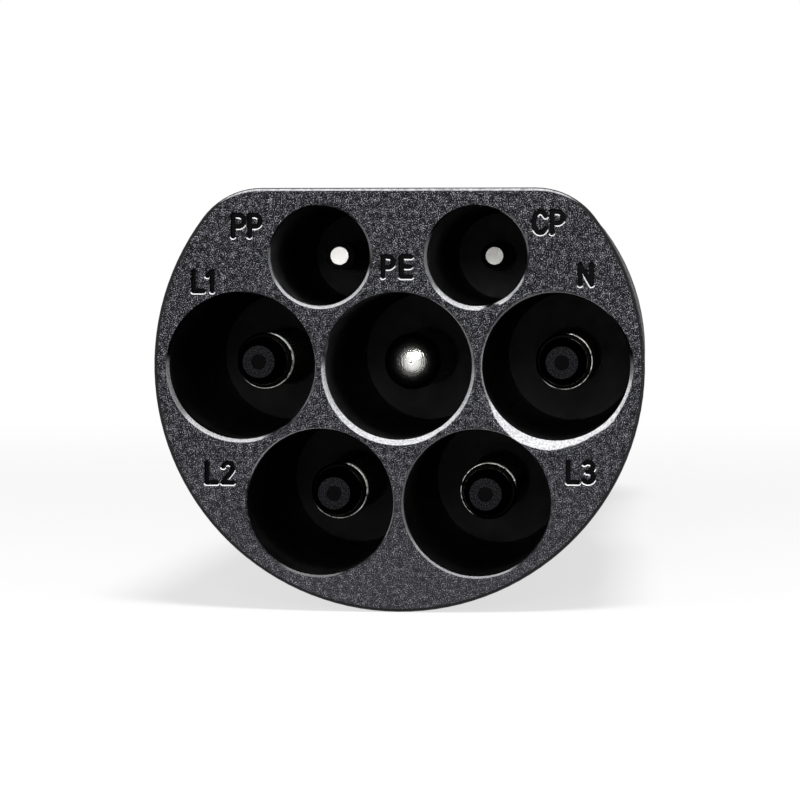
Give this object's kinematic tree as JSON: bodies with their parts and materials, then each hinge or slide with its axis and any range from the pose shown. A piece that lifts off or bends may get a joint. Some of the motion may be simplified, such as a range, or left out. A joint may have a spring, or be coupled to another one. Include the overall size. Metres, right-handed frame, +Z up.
{
  "type": "ev charging plug",
  "caption": "Pin end of an electric vehicle charging cable: a D-shaped black nose with deep round bores around recessed pins, an in-line ribbed grip and a cord gland.",
  "frame": {"origin": "axis of the protective earth contact, in the plane of the mating face", "axes": "-Y out of the mating face, +Y back along the grip to the gland, +Z up towards the flat side of the D, +X to the right for someone who looks into the contacts"},
  "size_m": [0.05, 0.1946, 0.0431],
  "materials": {
    "nose_plastic": "fine moulded grain",
    "grip_plastic": "fine moulded grain",
    "silvered_pin": "turned and silver plated",
    "guard_plastic": "polished, moulded",
    "seal_rubber": "moulded",
    "retainer_plastic": "glass-filled, moulded",
    "screw_steel": "zinc plated",
    "resistor_lacquer": "lacquered"
  },
  "bodies": {
    "root": {"nose": "nose_plastic", "flange_gasket": "seal_rubber", "contact_seal": "seal_rubber", "contact_retainer": "retainer_plastic", "retainer_screws": "screw_steel", "coding_resistor": "resistor_lacquer", "grip_upper": "grip_plastic", "grip_lower": "grip_plastic", "grip_screws": "screw_steel", "clamp_bar": "retainer_plastic", "clamp_screws": "screw_steel", "gland_body": "grip_plastic", "gland_seal": "seal_rubber", "gland_cage": "retainer_plastic", "gland_nut": "grip_plastic", "pin_l1": "silvered_pin", "pin_l2": "silvered_pin", "pin_l3": "silvered_pin", "pin_n": "silvered_pin", "pin_pe": "silvered_pin", "pin_pp": "silvered_pin", "pin_cp": "silvered_pin", "touch_guard_l1": "guard_plastic", "touch_guard_l2": "guard_plastic", "touch_guard_l3": "guard_plastic", "touch_guard_n": "guard_plastic"}
  },
  "joints": []
}
